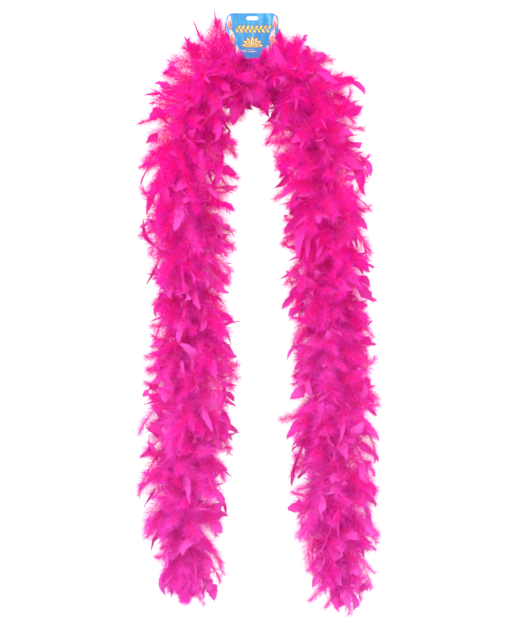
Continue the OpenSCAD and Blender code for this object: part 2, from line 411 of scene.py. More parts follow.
def make_knot(side):
    """An overhand knot, drawn as one closed loop of cord, and frayed ends below it."""
    centre = leg_end(side)
    t = np.linspace(0, 2 * math.pi, 60, endpoint=False)
    loop = np.stack([np.sin(t) + 2 * np.sin(2 * t), -1.3 * np.sin(3 * t),
                     np.cos(t) - 2 * np.cos(2 * t)], axis=1) * KNOT_SCALE
    tubes = [tube(centre + loop, KNOT_CORD_R, 8, closed=True)]
    rng = np.random.default_rng(7)
    for i in range(FRAYS):
        a = 2.4 * i
        run = np.linspace(0, 1, 7)[:, None]
        spread = np.array([math.cos(a), math.sin(a), 0]) * 0.0035
        sway = rng.normal(0, 0.0012, (1, 3)) * run ** 2
        fray = centre + spread * (0.5 + run) + sway - np.array([0, 0, FRAY_L]) * run
        tubes.append(tube(fray, 0.00035, 5))
    ob = joined_tubes(f"knot_{side}", tubes, CORE_DYE)
    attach(ob, f"{side}_{LINKS}")
    return ob


def make_whipping(side):
    """Thread wound round the core just above the knot."""
    low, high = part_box(f"whipping_{side}")
    t = np.linspace(0, 1, WHIPPING_TURNS * 16)
    middle = np.array([(low.x + high.x) / 2, (low.y + high.y) / 2])
    lean = on_path(side, PATHS[side][1][-1] - 0.01)[1]
    z = high.z - 0.0006 + (low.z - high.z + 0.0012) * t
    x = middle[0] + (z - (low.z + high.z) / 2) * lean[0] / lean[2]
    a = t * WHIPPING_TURNS * 2 * math.pi
    r = CORE_D / 2 + 0.0004
    line = np.stack([x + r * np.cos(a), middle[1] + r * np.sin(a), z], axis=1)
    ob = joined_tubes(f"wound_thread_{side}", [tube(line, WHIPPING_THREAD_R, 6)], THREAD_DYE)
    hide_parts(f"whipping_{side}")
    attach(ob, f"{side}_{LINKS}")
    return ob


def make_cords():
    """Each side's core, from the strap's middle to the knot, in one piece for each link."""
    for side in SIDES:
        points, at = PATHS[side]
        ends = [0.0, ARCH_L]
        for k in range(1, LINKS):
            ends.append(ends[-1] + float(np.linalg.norm(hinge_points(side)[k]
                                                        - hinge_points(side)[k - 1])))
        ends.append(float(at[-1]))
        for i in range(LINKS + 1):
            lo, hi = ends[i], ends[i + 1]
            path = on_path(side, np.linspace(lo, hi, int((hi - lo) / CORD_STEP)))[0]
            name = f"cord_{side}_{i}" if i else f"cord_crown_{side}"
            ob = joined_tubes(name, twisted(path, lo), CORE_DYE)
            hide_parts(f"core_{side}_{i}" if i else "core_crown")
            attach(ob, f"{side}_{i}" if i else "arch")
            last = i == LINKS
            with_pieces = [make_knot(side), make_whipping(side)] if last else []


make_cords()


# ---------------------------------------------------------------------------
# Feathers
# ---------------------------------------------------------------------------

FEATHERS_PER_METRE = 800
UNDER_STRAP = 34         # extra feathers of each side that hang under the strap
HANGING_L = 0.012        # length of core that those are spread over
FIRST_AT = 0.0205        # where the feathers outside the strap begin
GOLDEN_TURN = 2.399963   # angle round the core from each feather to the next
STEPS = 9                # pieces of each quill's curve
VANE_ROWS = 8
VANE_COLUMNS = 5
EDGE_HAIRS = 16          # loose barb ends along each edge of a blade
SHADES = 16              # rows of the UV map, one tint each
DOWN_U = 0.45            # the down's share of the UV map's width; the vanes have the rest
VANE_U = 0.5
BROAD, OBLIQUE, STRAP, PLUME = range(4)         # shapes of blade; a plume has none
KIND_SHARES = [0.26, 0.18, 0.14, 0.42]
QUILL_R = 0.0004
BARB_W = 0.00021         # half the width of one soft barb
BARBS = 560              # soft barbs of a plume
BLADED_BARBS = 0.7       # a feather with a blade has this share of that number
STRAY_BARBS = 200
BARB_OVERHANG = 0.0085   # room left for barbs past the tip of a quill
TRIAL_L = 0.085          # length at which quills are drawn first, to see how far they reach
SHORTEST, LONGEST = 0.050, 0.120
REACH = 0.080            # furthest that a quill's tip stands from the core
TAPER_L = 0.13           # length of core before each end where the feathers grow shorter
STRAP_L = 0.035          # length of core beside the strap where lower feathers reach further
CARD_REACH = 0.065       # up to here, feathers that stand up lean towards the card's back
END_TAPER = {"left": 0.72, "right": 0.60}       # share by which the feathers shorten
TOP_TRIM = {"left": 0.12, "right": 0.34}        # share cut off those on top of a shoulder
HANG_BELOW = {"left": 0.014, "right": 0.032}    # how far feathers hang below each knot

CARD_LOW, CARD_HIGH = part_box("header_card")
CARD_SQUARE_Z = -0.020   # where the card's sides start to draw in
CARD_CREASE_Z = -0.052
CARD_BACK_Y = 0.0012
STRAP_IN_VIEW = 0.014    # half the width of the strap that no feather covers


def quill_curves(root, heading, length, droop, curl, rng):
    """The quills' curves: (n, STEPS + 1, 3) points and directions. A quill starts along its
    heading, sinks under gravity and curls sideways more and more towards its tip."""
    n = len(root)
    points = np.zeros((n, STEPS + 1, 3))
    ways = np.zeros((n, STEPS + 1, 3))
    points[:, 0], ways[:, 0] = root, heading
    way = heading.copy()
    sideways = unit(np.cross(heading, rng.normal(size=(n, 3))))
    for i in range(1, STEPS + 1):
        t = i / STEPS
        pull = sideways * (curl * (0.2 + 1.6 * t * t) / STEPS)[:, None]
        pull[:, 2] -= droop * (0.35 + 0.9 * t) / STEPS
        way = unit(way + pull)
        points[:, i] = points[:, i - 1] + way * (length / STEPS)[:, None]
        ways[:, i] = way
    return points, ways


def along(values, t):
    """Values given at STEPS + 1 even places, read at t (n, k), from 0 to 1."""
    x = np.clip(t, 0, 1) * STEPS
    i = np.minimum(x.astype(int), STEPS - 1)
    f = (x - i)[..., None]
    rows = np.arange(len(values))[:, None]
    return values[rows, i] * (1 - f) + values[rows, i + 1] * f


def furthest_from_core(side, points):
    """How far each quill stands from the core at most, for points (n, k, 3)."""
    line = PATHS[side][0][::4]
    way = unit(np.gradient(line, axis=0))
    gap = points[:, :, None] - line
    nearest = np.argmin(np.sum(gap * gap, axis=-1), axis=-1)
    offset = points - line[nearest]
    direction = way[nearest]
    offset = offset - direction * np.sum(offset * direction, axis=-1, keepdims=True)
    return np.linalg.norm(offset, axis=-1).max(axis=1)


def shade_uv(u, shade, inside):
    """UV places: u along the barb or vane, and inside (0 to 1) across the shade's row."""
    u, v = np.broadcast_arrays(u, (shade + 0.06 + 0.88 * inside) / SHADES)
    return np.stack([u, v], axis=-1)


def vane_grid(points, ways, across, start, width, kind, cup, turn, rng):
    """The blade at the end of each feather: points (n, rows, columns, 3)."""
    u = np.linspace(0, 1, VANE_ROWS)[None]
    t = start[:, None] + (1 - start)[:, None] * u
    centre = along(points, t)
    way = unit(along(ways, t))
    side = unit(along(across, t))
    normal = np.cross(way, side)
    angle = (turn[:, None] * u)[..., None]
    side, normal = (side * np.cos(angle) + normal * np.sin(angle),
                    normal * np.cos(angle) - side * np.sin(angle))
    rise = np.minimum(1, (u + 0.02) / 0.30) ** 0.7
    swell = rng.normal(0, 0.35, len(points))[:, None]
    wave = swell * np.sin(u * 5 + rng.random((len(points), 1)) * 6)
    columns = []
    for c in np.linspace(-1, 1, VANE_COLUMNS):
        end = np.where((kind == OBLIQUE) & (c < 0), 0.66, 1.0)[:, None]
        power = np.where(kind == OBLIQUE, 6.0, 3.2)[:, None]
        fall = np.clip(1 - np.clip(u / end, 0, 1) ** power, 0, 1) ** 0.8
        half = width[:, None] * rise * fall
        if abs(c) == 1:
            half = half * (1 + rng.normal(0, 0.12, half.shape))
        bow = (wave * c - cup[:, None] * c * c) * half
        columns.append(centre + side * (c * half)[..., None] + normal * bow[..., None])
    return np.stack(columns, axis=2), side, way


def add_vanes(batch, curves, start, width, kind, cup, turn, shade, rng):
    """Smooth flat blades, and the loose ends of their barbs along both edges."""
    grid, side, way = vane_grid(*curves, start, width, kind, cup, turn, rng)
    n = len(grid)
    cells = []
    for r in range(VANE_ROWS - 1):
        for c in range(VANE_COLUMNS - 1):
            a = r * VANE_COLUMNS + c
            cells.append((a, a + 1, a + 1 + VANE_COLUMNS, a + VANE_COLUMNS))
    u = VANE_U + 0.01 + (1 - VANE_U - 0.02) * np.linspace(0, 1, VANE_ROWS)[None, :, None]
    uv = shade_uv(u, shade[:, None, None], np.linspace(0, 1, VANE_COLUMNS)[None, None])
    batch.add(grid.reshape(n, -1, 3), uv.reshape(n, -1, 2), quads=cells, slot=1)

    t = (np.arange(EDGE_HAIRS) + rng.random((n, EDGE_HAIRS))) / EDGE_HAIRS * (VANE_ROWS - 1)
    i = np.minimum(t.astype(int), VANE_ROWS - 2)
    f = (t - i)[..., None]
    copy = np.arange(n)[:, None]
    for column, sign in ((0, -1), (VANE_COLUMNS - 1, 1)):
        edge = grid[:, :, column]
        at = edge[copy, i] * (1 - f) + edge[copy, i + 1] * f
        out = side[copy, i] * sign
        forward = way[copy, i]
        lean = rng.uniform(0.5, 1.6, (n, EDGE_HAIRS, 1))
        hair = unit(out + forward * lean + rng.normal(0, 0.25, (n, EDGE_HAIRS, 3)))
        size = width[:, None, None] * rng.uniform(0.25, 1.0, (n, EDGE_HAIRS, 1))
        foot = forward * 0.0005
        inward = out * 0.001
        tri = np.stack([at - foot - inward, at + foot - inward, at + hair * size], axis=2)
        uv = shade_uv(np.array([0.6, 0.6, 0.9]) * (1 - VANE_U) + VANE_U,
                      shade[:, None, None], np.full((n, EDGE_HAIRS, 3), 0.5 + 0.5 * sign))
        batch.add(tri.reshape(-1, 3, 3), uv.reshape(-1, 3, 2), tris=[(0, 1, 2)], slot=1)


def add_quills(batch, points, ways, across, shade):
    """Three-sided tapering stalks."""
    n = len(points)
    t = np.linspace(0, 1, STEPS + 1)
    normal = np.cross(ways, across)
    r = (QUILL_R * (1 - 0.8 * t))[:, None]
    rings = []
    for k in range(3):
        a = 2 * math.pi * k / 3
        rings.append(points + (across * math.cos(a) + normal * math.sin(a)) * r)
    grid = np.stack(rings, axis=2).reshape(n, -1, 3)
    uv = shade_uv((VANE_U + 0.01 + 0.2 * t)[None, :, None], shade[:, None, None],
                  np.full((1, 1, 3), 0.5)).reshape(n, -1, 2)
    cells = []
    for i in range(STEPS):
        for k in range(3):
            a, b = i * 3 + k, i * 3 + (k + 1) % 3
            cells.append((a, b, b + 3, a + 3))
    batch.add(grid, uv, quads=cells, slot=1)


def add_down(batch, points, ways, across, count, length, end, shade, rng):
    """Soft barbs down both sides of each quill, from the core to the share end of it. They
    stand out near the core, and lie more and more forward towards the quill's tip."""
    n = len(points)
    even = (np.arange(count)[None] + rng.random((n, count))) / count
    t = 0.02 + even * (end[:, None] - 0.02)
    sign = np.where(np.arange(count)[None] % 2, 1.0, -1.0)
    base = along(points, t)
    way = unit(along(ways, t))
    side = unit(along(across, t)) * sign[..., None]
    normal = np.cross(way, side)
    size = length[:, None] * (0.5 + 0.5 * np.minimum(1, t * 3.5)) * (1 - 0.58 * t ** 1.5)
    size = size * rng.uniform(0.6, 1.15, (n, count))
    open_a = np.radians(80 - 40 * t + rng.normal(0, 12, (n, count)))[..., None]
    lift = rng.normal(0, 0.65, (n, count))[..., None]
    out = side * np.cos(lift) + normal * np.sin(lift)
    start = unit(way * np.cos(open_a) + out * np.sin(open_a))
    bend = rng.normal(0, 0.38, (n, count, 3)) + way * 0.25
    bend[..., 2] -= 0.22
    middle = base + start * (size * 0.5)[..., None]
    tip = middle + unit(start + bend) * (size * 0.5)[..., None]
    flat = unit(np.cross(start, rng.normal(size=(n, count, 3))))
    tint = np.clip(shade[:, None] + rng.normal(0, 3.5, (n, count)), 0, SHADES - 1).astype(int)
    strip = [base - flat * BARB_W, base + flat * BARB_W,
             middle - flat * BARB_W * 0.8, middle + flat * BARB_W * 0.8, tip]
    grid = np.stack(strip, axis=2).reshape(n * count, 5, 3)
    u = 0.01 + (DOWN_U - 0.02) * np.array([0, 0, 0.5, 0.5, 1.0])
    uv = shade_uv(u[None, None], tint[..., None], t[..., None]).reshape(n * count, 5, 2)
    batch.add(grid, uv, quads=[(0, 1, 3, 2)], tris=[(2, 3, 4)], slot=0)


def share_that_fits(points, grown, lowest):
    """The share of its length that each quill keeps so that it stays above lowest and in
    the space that feathers may fill, for points (n, k, 3) drawn at 1 / grown of their size."""
    low, high = CAD_BOX
    room = ROOM_SHARE * (high - low) + ROOM_MORE - BARB_OVERHANG
    low, high = np.tile(low - room, (len(points), 1)), high + room
    low[:, 2] = lowest
    root = points[:, 0]
    span = (points - root[:, None]) * grown[:, None, None]
    below = (root - low) / np.maximum(-span.min(axis=1), 1e-6)
    above = (high - root) / np.maximum(span.max(axis=1), 1e-6)
    return np.minimum(1, np.minimum(below, above).min(axis=1))


def tufts(side, s, turn):
    """Clumps that stand proud of the rest, by place along the core and round it."""
    lobes = np.sin(s * 95 + 2 * turn + SIDES[side]) + np.sin(s * 61 - turn + 2 * SIDES[side])
    return 0.08 * lobes


def add_feathers(batch, side, lo, hi, count, rng, hanging=False):
    """Feathers gripped by the core between distances lo and hi from the strap's middle; with
    hanging, only on the core's underside and leaning back under the strap."""
    s = lo + (hi - lo) * (np.arange(count) + rng.random(count)) / count
    place, core_way = on_path(side, s)
    front = np.broadcast_to(np.array([0.0, -1.0, 0.0]), core_way.shape)
    other = np.cross(core_way, front)
    turn = np.arange(count) * GOLDEN_TURN + rng.uniform(-0.5, 0.5, count)
    if hanging:
        turn = SIDES[side] * rng.uniform(0.5, 2.6, count)
    radial = front * np.cos(turn)[:, None] + other * np.sin(turn)[:, None]
    around = np.cross(core_way, radial)
    at_end = np.clip(1 - (PATHS[side][1][-1] - s) / TAPER_L, 0, 1)
    at_strap = np.clip(1 - (s - STRAP_HALF) / STRAP_L, 0, 1)
    below_strap = at_strap * (radial[:, 2] < -0.2)
    lay = rng.normal(80 - 55 * at_end, 30 - 10 * at_end, count) + 35 * below_strap
    lay = np.radians(np.clip(lay, 12, 150 if hanging else 130))
    swirl = rng.normal(0, 0.8, count)[:, None]
    heading = unit(core_way * np.cos(lay)[:, None]
                   + (radial + around * swirl) * np.sin(lay)[:, None])
    behind_card = (s < CARD_REACH) & (heading[:, 2] > 0)
    heading[:, 1] = np.where(behind_card, abs(heading[:, 1]), heading[:, 1])
    on_arch = np.clip(1 - (s - ARCH_L) / 0.05, 0, 1)
    droop = rng.uniform(0.1, 1.3, count) * (1 - 0.6 * on_arch) + 0.6 * at_end
    curl = rng.normal(0, 1.6, count)
    root = place + radial * CORE_D * 0.4
    far = rng.uniform(1.02, 1.30, count) + 0.20 * (rng.random(count) < 0.12)
    far += tufts(side, s, turn) + 0.10 * on_arch + 0.45 * below_strap
    taper = END_TAPER[side] * at_end ** 1.4
    up = np.clip(heading[:, 2], 0, 1) * on_arch
    out = np.clip(heading[:, 0] * SIDES[side], 0, 1)
    far += 0.22 * out * np.exp(-((s - ARCH_L) / 0.07) ** 2)
    target = whorl_radius(side, s) * far * (1 - taper) * (1 - TOP_TRIM[side] * up)
    target = np.minimum(target, REACH)
    length = np.full(count, TRIAL_L)
    state = rng.bit_generator.state
    points, ways = quill_curves(root, heading, length, droop, curl, rng)
    length = np.clip(length * target / furthest_from_core(side, points), SHORTEST, LONGEST)
    lowest = leg_end(side)[2] - HANG_BELOW[side] * rng.uniform(-0.6, 1, count)
    length *= share_that_fits(points, length / TRIAL_L, lowest)
    rng.bit_generator.state = state
    points, ways = quill_curves(root, heading, length, droop, curl, rng)
    across = unit(np.cross(ways, radial[:, None] + rng.normal(0, 0.7, (count, 1, 3))))
    kind = rng.choice(4, count, p=KIND_SHARES)
    paler = 10 * np.clip((s - ARCH_L) / 0.7, 0, 1)
    shade = np.clip(paler + rng.normal(2, 2.5, count), 0, SHADES - 1).astype(int)
    start = rng.uniform(0.50, 0.68, count)
    width = np.where(kind == STRAP, rng.uniform(0.0018, 0.0032, count),
                     rng.uniform(0.0052, 0.0092, count))
    cup = rng.uniform(-0.6, 0.9, count)
    twist = rng.normal(0, 1.1, count)
    down_l = rng.uniform(0.024, 0.036, count) * (1 - 0.4 * at_end)
    add_quills(batch, points, ways, across, shade)
    bladed = kind != PLUME
    add_vanes(batch, (points[bladed], ways[bladed], across[bladed]), start[bladed],
              width[bladed], kind[bladed], cup[bladed], twist[bladed], shade[bladed], rng)
    add_down(batch, points[bladed], ways[bladed], across[bladed], int(BARBS * BLADED_BARBS),
             down_l[bladed], start[bladed] + 0.12, shade[bladed], rng)
    add_down(batch, points[~bladed], ways[~bladed], across[~bladed], BARBS,
             down_l[~bladed], np.full((~bladed).sum(), 0.99), shade[~bladed], rng)


# Long thin feathers that stand up out of a shoulder: distance along the core, heading, length
STRAYS = {"left": [(0.058, (0.0, -0.05, 1.0), 0.096), (0.074, (-0.22, 0.05, 1.0), 0.092),
                   (0.150, (-0.9, -0.1, 0.8), 0.078)],
          "right": [(0.145, (1.0, -0.2, 0.30), 0.076), (0.120, (0.8, 0.1, 0.75), 0.072)]}


def add_strays(batch, side, rng):
    """The long thin feathers of one shoulder, with a narrow blade and short down."""
    strays = STRAYS[side]
    n = len(strays)
    place = on_path(side, [stray[0] for stray in strays])[0]
    heading = unit(np.array([stray[1] for stray in strays]))
    length = np.array([stray[2] for stray in strays])
    points, ways = quill_curves(place, heading, length, np.zeros(n), np.full(n, 0.3), rng)
    across = unit(np.cross(ways, [0.0, 1.0, 0.0]))
    shade = np.full(n, 2)
    add_quills(batch, points, ways, across, shade)
    add_vanes(batch, (points, ways, across), np.full(n, 0.62), np.full(n, 0.0016),
              np.full(n, STRAP), np.zeros(n), np.full(n, 0.8), shade, rng)
    add_down(batch, points, ways, across, STRAY_BARBS, np.full(n, 0.014), np.full(n, 0.80),
             shade, rng)


# ---------------------------------------------------------------------------
# Feather materials
# ---------------------------------------------------------------------------

def feather_uv(nodes, links):
    """The UV map's u, the shade row's number, and the place inside the row from 0 to 1."""
    uv = nodes.new("ShaderNodeUVMap")
    uv.uv_map = UV_NAME
    split = nodes.new("ShaderNodeSeparateXYZ")
    links.new(uv.outputs[0], split.inputs[0])
    rows = node_math(nodes, links, "MULTIPLY", split.outputs["Y"], SHADES)
    row = node_math(nodes, links, "FLOOR", rows)
    inside = node_math(nodes, links, "FRACT", rows)
    return split.outputs["X"], row, inside


def paler_rows(nodes, links, colour, row, pale, most):
    """colour mixed with a paler one: not at all on the first shade row, and by the share
    most on the last."""
    share = nodes.new("ShaderNodeMapRange")
    share.inputs["From Max"].default_value = SHADES - 1
    share.inputs["To Max"].default_value = most
    links.new(row, share.inputs["Value"])
    return mixed(nodes, links, share.outputs[0], colour, pale)


LINE_SHADE_TINT = (1.0, 0.55, 0.88)     # painted shade: the colour is darker and redder between the lines of a feather
PALEST = 0.62                       # share of the paler colour on the last shade row


def feather_material(name, stops, pale, roughness, lines, bump):
    """Dyed feather: stops colour it along a barb or blade, and fine lines cross it. Where the
    stops deepen towards the root, that is painted shade, and the colour darkened and reddened
    between the lines is painted shade too.
    """
    m, nodes, links, p = new_material(name)
    u, row, inside = feather_uv(nodes, links)
    colour = ramp(nodes, stops)
    links.new(u, colour.inputs[0])
    dye_and_root_shade = paler_rows(nodes, links, colour.outputs[0], row, pale, PALEST)
    p.inputs["Roughness"].default_value = roughness
    p.inputs["Specular IOR Level"].default_value = 0.06
    p.inputs["Sheen Weight"].default_value = 0.04
    p.inputs["Sheen Roughness"].default_value = 0.4
    slant = node_math(nodes, links, "MULTIPLY_ADD", inside, 0.16, u)
    wave = nodes.new("ShaderNodeTexWave")
    wave.inputs["Scale"].default_value = lines
    wave.inputs["Distortion"].default_value = 1.5
    place = nodes.new("ShaderNodeCombineXYZ")
    links.new(slant, place.inputs["X"])
    links.new(row, place.inputs["Y"])
    links.new(place.outputs[0], wave.inputs["Vector"])
    # painted shade: between the fine lines the colour is multiplied darker and redder
    tints = ramp(nodes, [(0.0, LINE_SHADE_TINT), (0.7, (1.0, 1.0, 1.0))])
    links.new(wave.outputs["Fac"], tints.inputs[0])
    streaks = nodes.new("ShaderNodeMix")
    streaks.data_type = "RGBA"
    streaks.blend_type = "MULTIPLY"
    streaks.inputs["Factor"].default_value = 1.0
    links.new(dye_and_root_shade, streaks.inputs["A"])
    links.new(tints.outputs[0], streaks.inputs["B"])
    links.new(streaks.outputs["Result"], p.inputs["Base Color"])
    add_bump(nodes, links, p, wave.outputs["Fac"], bump, 0.0004)
    return m


# painted shade: the down and the blades run from deep crimson at the root to paler pink at the
# tip, for the shade deep among the feathers
DOWN = feather_material("down", [(0.0, (0.995, 0.001, 0.32)), (DOWN_U, (0.95, 0.012, 0.75))],
                        (0.93, 0.22, 0.96), 0.8, 30, 0.1)
VANE = feather_material("vane", [(VANE_U, (0.95, 0.009, 0.38)), (0.64, (0.88, 0.034, 0.45)),
                                 (1.0, (0.86, 0.046, 0.48))],
                        (0.88, 0.22, 0.78), 0.6, 60, 0.35)


def pressed_behind_card(points):
    """Moves feathers that stand in front of the card to its back, and those in front of the
    middle of the strap to the back of its loop."""
    low, high = CARD_LOW, CARD_HIGH
    x, y, z = abs(points[:, 0]), points[:, 1], points[:, 2]
    slope = (high.x - STRAP_HALF) / (CARD_SQUARE_Z - CARD_CREASE_Z)
    half = np.minimum(high.x, high.x - slope * (CARD_SQUARE_Z - z)) + 0.002
    card = (x < half) & (z > CARD_CREASE_Z) & (z < high.z + 0.002) & (y < CARD_BACK_Y)
    strap = (x < STRAP_IN_VIEW) & (z > low.z - 0.003) & (z <= CARD_CREASE_Z) & (y < high.y)
    y = np.where(card, CARD_BACK_Y + 0.25 * (CARD_BACK_Y - y), y)
    points[:, 1] = np.where(strap, high.y + 0.0005 + 0.25 * abs(y), y)
    return points


def feather_piece(name, side, lo, hi, seed, shape=None):
    """One object with the feathers between two distances along a side. A piece that starts at
    the strap has a shape, and the feathers that hang under the strap and the long thin ones."""
    rng = np.random.default_rng(seed)
    batch = Batch()
    add_feathers(batch, side, lo, hi, int(FEATHERS_PER_METRE * (hi - lo)), rng)
    if shape:
        add_feathers(batch, side, lo, lo + HANGING_L, UNDER_STRAP, rng, hanging=True)
        add_strays(batch, side, rng)
    return batch.build(name, [DOWN, VANE], shape)


def make_boa():
    """All the feathers: a piece over each shoulder, one round each hinge, one at each end."""
    for i, side in enumerate(SIDES):
        hinges = hinge_points(side)
        arch_end = ARCH_L - LINK_L / 2
        ob = feather_piece(f"plumes_arch_{side}", side, FIRST_AT, arch_end, 100 + i,
                           pressed_behind_card)
        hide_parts(*[f"feathers_arch_{side}_{n}" for n in (1, 2, 3)])
        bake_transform(ob)
        for k in range(LINKS):
            lo = ARCH_L + (k - 0.5) * LINK_L
            ob = feather_piece(f"plumes_{side}_{k + 1}", side, lo, lo + LINK_L, 200 + 20 * i + k)
            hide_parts(f"feathers_{side}_{2 * k + 1:02d}", f"feathers_{side}_{2 * k + 2:02d}")
            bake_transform(ob)
        lo = ARCH_L + (LINKS - 0.5) * LINK_L
        ob = feather_piece(f"plumes_{side}_end", side, lo, ARCH_L + LINKS * LINK_L + 0.004,
                           300 + i)
        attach(ob, f"{side}_{LINKS}")


make_boa()


# ---------------------------------------------------------------------------
# Quills and down squeezed in the strap
# ---------------------------------------------------------------------------

def make_gripped():
    """Flattened quills and down that lie along the core inside the strap's loop."""
    low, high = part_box("gripped_feathers")
    outer = (high.z - low.z) / 2 - 0.0003
    rng = np.random.default_rng(11)
    strands, steps = 260, 9
    t = np.linspace(0, 1, steps)[None]
    turn = rng.uniform(0, 2 * math.pi, (strands, 1)) + rng.normal(0, 0.8, (strands, 1)) * t
    r = CORE_D / 2 + (outer - CORE_D / 2) * rng.uniform(0.15, 1, (strands, 1)) ** 0.5
    r = r * (1 + 0.04 * np.sin(t * 9 + rng.random((strands, 1)) * 6)) - 0.0001
    x = low.x + (high.x - low.x) * t
    middle = (low + high) / 2
    batch = Batch()
    edges = []
    for lean in (-1, 1):
        a = turn + lean * rng.uniform(0.05, 0.14, (strands, 1))
        edges.append(np.stack([np.broadcast_to(x, a.shape), middle.y + r * np.cos(a),
                               middle.z + r * np.sin(a)], axis=-1))
    grid = np.stack(edges, axis=2).reshape(strands, -1, 3)
    shade = rng.integers(0, 6, strands)[:, None, None]
    uv = shade_uv(0.05 + 0.3 * t[..., None], shade, np.full((strands, 1, 2), 0.5))
    cells = [(2 * i, 2 * i + 1, 2 * i + 3, 2 * i + 2) for i in range(steps - 1)]
    batch.add(grid, uv.reshape(strands, -1, 2), quads=cells, slot=0)
    ob = batch.build("gripped_down", [DOWN, VANE])
    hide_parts("gripped_feathers")
    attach(ob, "arch")


make_gripped()


# ---------------------------------------------------------------------------
# Header card
# ---------------------------------------------------------------------------

BLUE = (0.012, 0.28, 0.60)
STRAP_BLUE = (0.004, 0.16, 0.56)
BOARD = (0.80, 0.79, 0.76)
PRINT_LIFT = 0.00001     # how far each layer of ink stands off the one below


def card_material():
    """Printed board: blue with paler brush strokes outside, bare board on the cut edges and
    on the back and inside of the strap's loop."""
    m, nodes, links, p = new_material("printed_card")
    place = nodes.new("ShaderNodeTexCoord")
    stretch = nodes.new("ShaderNodeMapping")
    stretch.inputs["Rotation"].default_value = (0, 0.45, 0)
    stretch.inputs["Scale"].default_value = (90, 1, 22)
    links.new(place.outputs["Object"], stretch.inputs["Vector"])
    strokes = noise(nodes, links, stretch.outputs[0], 1.6, 5)
    strokes.inputs["Distortion"].default_value = 0.6
    ink = ramp(nodes, [(0.34, (0.008, 0.22, 0.52)), (0.52, BLUE), (0.64, (0.06, 0.40, 0.66)),
                       (0.78, (0.42, 0.68, 0.78))])
    links.new(strokes.outputs["Fac"], ink.inputs[0])

    split = nodes.new("ShaderNodeSeparateXYZ")
    links.new(place.outputs["Object"], split.inputs[0])
    fade = nodes.new("ShaderNodeMapRange")
    fade.inputs["From Min"].default_value = CARD_SQUARE_Z
    fade.inputs["From Max"].default_value = CARD_LOW.z
    fade.inputs["To Max"].default_value = 0.75
    links.new(split.outputs["Z"], fade.inputs["Value"])
    shaded = mixed(nodes, links, fade.outputs[0], ink.outputs[0], STRAP_BLUE)
    normal = nodes.new("ShaderNodeSeparateXYZ")
    links.new(place.outputs["Normal"], normal.inputs[0])
    edge = node_math(nodes, links, "GREATER_THAN",
                     node_math(nodes, links, "ABSOLUTE", normal.outputs["X"]), 0.45)
    top = node_math(nodes, links, "GREATER_THAN", normal.outputs["Z"], 0.7)
    # the back of the card: faces +Y, and lies in front of the tab that is folded up behind it
    behind = node_math(nodes, links, "GREATER_THAN", normal.outputs["Y"], 0.5)
    flat_back = node_math(nodes, links, "LESS_THAN", split.outputs["Y"], 0.0005)
    back = node_math(nodes, links, "MULTIPLY", behind, flat_back)
    dy = node_math(nodes, links, "SUBTRACT", split.outputs["Y"], float(STRAP_AXIS[1]))
    dz = node_math(nodes, links, "SUBTRACT", split.outputs["Z"], float(STRAP_AXIS[2]))
    gap = node_math(nodes, links, "POWER",
                    node_math(nodes, links, "ADD",
                              node_math(nodes, links, "MULTIPLY", dy, dy),
                              node_math(nodes, links, "MULTIPLY", dz, dz)), 0.5)
    inside = node_math(nodes, links, "LESS_THAN", gap, float(STRAP_AXIS[1]))
    bare = node_math(nodes, links, "MAXIMUM",
                     node_math(nodes, links, "MAXIMUM", edge, top),
                     node_math(nodes, links, "MAXIMUM", back, inside))
    links.new(mixed(nodes, links, bare, shaded, BOARD), p.inputs["Base Color"])
    p.inputs["Roughness"].default_value = 0.36
    p.inputs["Specular IOR Level"].default_value = 0.3
    p.inputs["Coat Weight"].default_value = 0.1
    p.inputs["Coat Roughness"].default_value = 0.15
    grain = noise(nodes, links, place.outputs["Object"], 900)
    add_bump(nodes, links, p, grain.outputs["Fac"], 0.15, 0.0001)
    return m


def ink_material(name, dark, light, scale=160.0):
    """Ink that varies a little between two colours."""
    m, p = noise_coloured(name, scale, [(0.38, dark), (0.62, light)])
    p.inputs["Roughness"].default_value = 0.35
    return m


def leaf_outline(base, tip, width, bend, notch=0.0, rows=15):
    """Two edges of a flat leaf or feather from base to tip, in X and Z: (rows, 2, 2)."""
    base, tip = np.array(base), np.array(tip)
    run = tip - base
    t = np.linspace(0, 1, rows)[:, None]
    normal = np.array([-run[1], run[0]]) / np.linalg.norm(run)
    spine = base + run * t + normal * bend * np.sin(math.pi * t)
    half = width / 2 * np.sin(math.pi * np.clip(t * 0.93 + 0.07, 0, 1)) ** 0.7
    half = half * (1 - notch * (np.arange(rows) % 2)[:, None])
    return np.stack([spine - normal * half, spine + normal * half], axis=1)


